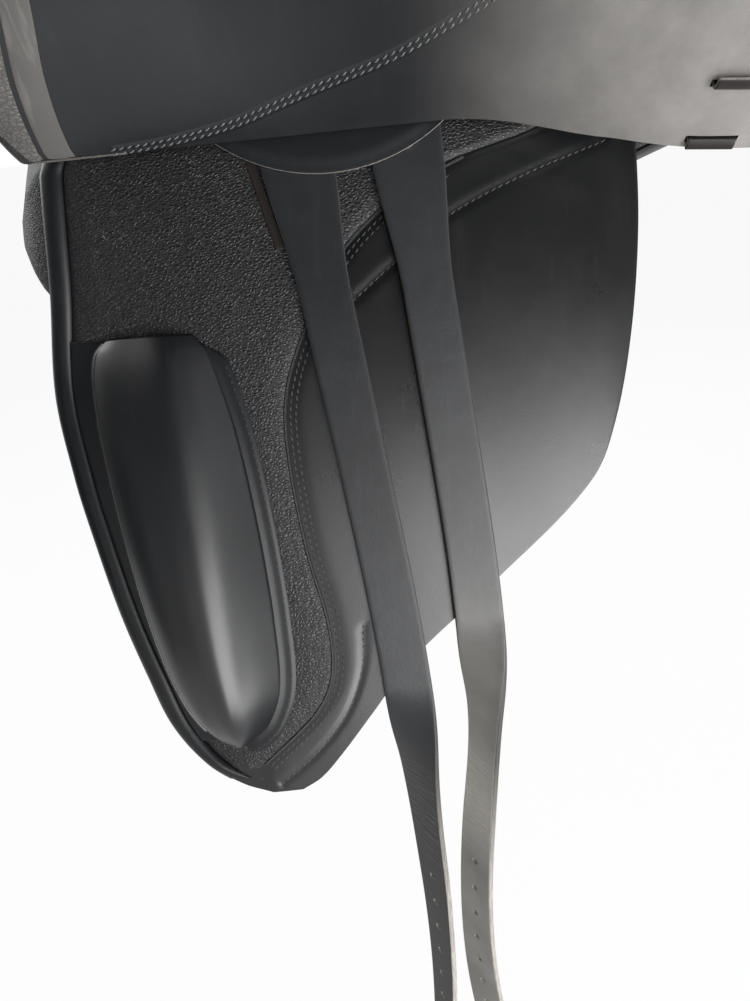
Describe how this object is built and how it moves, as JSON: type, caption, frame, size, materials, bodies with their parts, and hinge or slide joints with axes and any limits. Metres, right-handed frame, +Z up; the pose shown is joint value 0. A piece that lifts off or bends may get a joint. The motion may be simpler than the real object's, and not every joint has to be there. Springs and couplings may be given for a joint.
{
  "type": "dressage saddle",
  "caption": "Black leather dressage saddle with its near flap lifted, showing the sweat flap, knee block and hanging girth straps; the flaps, skirts, straps, catches and dee rings move.",
  "frame": {"origin": "on the centre line at the level where the panels bear, under the deepest part of the seat", "axes": "+X to the near (left) side, -Y to the front, +Z up"},
  "size_m": [0.6765, 0.51, 0.9604],
  "materials": {
    "leather": "smooth, half gloss",
    "soft_leather": "pebble grain, half matt",
    "worn_leather": "smooth, rubbed",
    "steel": "satin",
    "laminate": "raw",
    "foam": "matt",
    "flock": "matt",
    "webbing": "matt weave"
  },
  "bodies": {
    "seat_and_tree": {"saddle_tree": "laminate", "gullet_plate": "steel", "tree_springs": "steel", "tree_rivets": "steel", "straining_web": "webbing", "seat_foam": "foam", "seat_cover": "soft_leather", "seat_welt": "leather", "pommel_facing": "soft_leather", "cantle_facing": "soft_leather", "panel_cover_near": "soft_leather", "panel_cover_off": "soft_leather", "panel_flock_near": "flock", "panel_flock_off": "flock", "panel_bridge": "soft_leather", "sweat_flap_near": "leather", "sweat_flap_off": "leather", "edge_roll_near": "worn_leather", "edge_roll_off": "worn_leather", "grain_patch_near": "soft_leather", "grain_patch_off": "soft_leather", "block_core_near": "foam", "block_core_off": "foam", "knee_block_near": "leather", "knee_block_off": "leather", "girth_webs_near": "webbing", "girth_webs_off": "webbing", "strap_rivets": "steel", "strap_guard_near": "leather", "strap_guard_off": "leather", "flap_root_near": "leather", "flap_root_off": "leather", "stirrup_bar_near": "steel", "stirrup_bar_off": "steel", "catch_pins": "steel", "bar_rivets": "steel", "dee_keepers": "leather"},
    "flap_near": {"flap_near": "leather", "flap_facing_near": "soft_leather", "flap_keeper_near": "worn_leather"},
    "skirt_near": {"skirt_near": "leather"},
    "front_strap_near": {"front_strap_near": "worn_leather"},
    "rear_strap_near": {"rear_strap_near": "worn_leather"},
    "bar_catch_near": {"bar_catch_near": "steel"},
    "dee_ring_near": {"dee_ring_near": "steel"},
    "flap_off": {"flap_off": "leather", "flap_facing_off": "soft_leather", "flap_keeper_off": "worn_leather"},
    "skirt_off": {"skirt_off": "leather"},
    "front_strap_off": {"front_strap_off": "worn_leather"},
    "rear_strap_off": {"rear_strap_off": "worn_leather"},
    "bar_catch_off": {"bar_catch_off": "steel"},
    "dee_ring_off": {"dee_ring_off": "steel"}
  },
  "joints": [
    {"name": "near_flap_lift", "type": "hinge", "parent": "seat_and_tree", "child": "flap_near", "pos_m": [0.12627, -0.055, 0.04951], "axis": [0, 1, 0], "range_deg": [-10, 115]},
    {"name": "off_flap_lift", "type": "hinge", "parent": "seat_and_tree", "child": "flap_off", "pos_m": [-0.12627, -0.055, 0.04951], "axis": [0, -1, 0], "range_deg": [-125, 0]},
    {"name": "near_skirt_lift", "type": "hinge", "parent": "seat_and_tree", "child": "skirt_near", "pos_m": [0.05891, -0.176, 0.1188], "axis": [-0.1419, -0.964, 0.225], "range_deg": [0, 50]},
    {"name": "off_skirt_lift", "type": "hinge", "parent": "seat_and_tree", "child": "skirt_off", "pos_m": [-0.05891, -0.176, 0.1188], "axis": [-0.1419, 0.964, -0.225], "range_deg": [0, 50]},
    {"name": "near_front_strap_swing", "type": "hinge", "parent": "seat_and_tree", "child": "front_strap_near", "pos_m": [0.11832, -0.0845, 0.04017], "axis": [0.9397, 0, 0.342], "range_deg": [-1, 2]},
    {"name": "off_front_strap_swing", "type": "hinge", "parent": "seat_and_tree", "child": "front_strap_off", "pos_m": [-0.11832, -0.0845, 0.04017], "axis": [0.9397, 0, -0.342], "range_deg": [-3, 2]},
    {"name": "near_rear_strap_swing", "type": "hinge", "parent": "seat_and_tree", "child": "rear_strap_near", "pos_m": [0.11832, -0.0255, 0.04017], "axis": [0.9397, 0, 0.342], "range_deg": [-2, 8]},
    {"name": "off_rear_strap_swing", "type": "hinge", "parent": "seat_and_tree", "child": "rear_strap_off", "pos_m": [-0.11832, -0.0255, 0.04017], "axis": [0.9397, 0, -0.342], "range_deg": [-1, 9]},
    {"name": "near_bar_catch_turn", "type": "hinge", "parent": "seat_and_tree", "child": "bar_catch_near", "pos_m": [0.08501, -0.07545, 0.06988], "axis": [0.7619, -0.097, -0.6403], "range_deg": [0, 80]},
    {"name": "off_bar_catch_turn", "type": "hinge", "parent": "seat_and_tree", "child": "bar_catch_off", "pos_m": [-0.08501, -0.07545, 0.06988], "axis": [0.7619, 0.097, 0.6403], "range_deg": [0, 80]},
    {"name": "near_dee_ring_swing", "type": "hinge", "parent": "seat_and_tree", "child": "dee_ring_near", "pos_m": [0.05201, -0.20717, 0.11693], "axis": [-0.5393, -0.8421, 0], "range_deg": [0, 75]},
    {"name": "off_dee_ring_swing", "type": "hinge", "parent": "seat_and_tree", "child": "dee_ring_off", "pos_m": [-0.05201, -0.20717, 0.11693], "axis": [-0.5393, 0.8421, 0], "range_deg": [0, 75]}
  ]
}
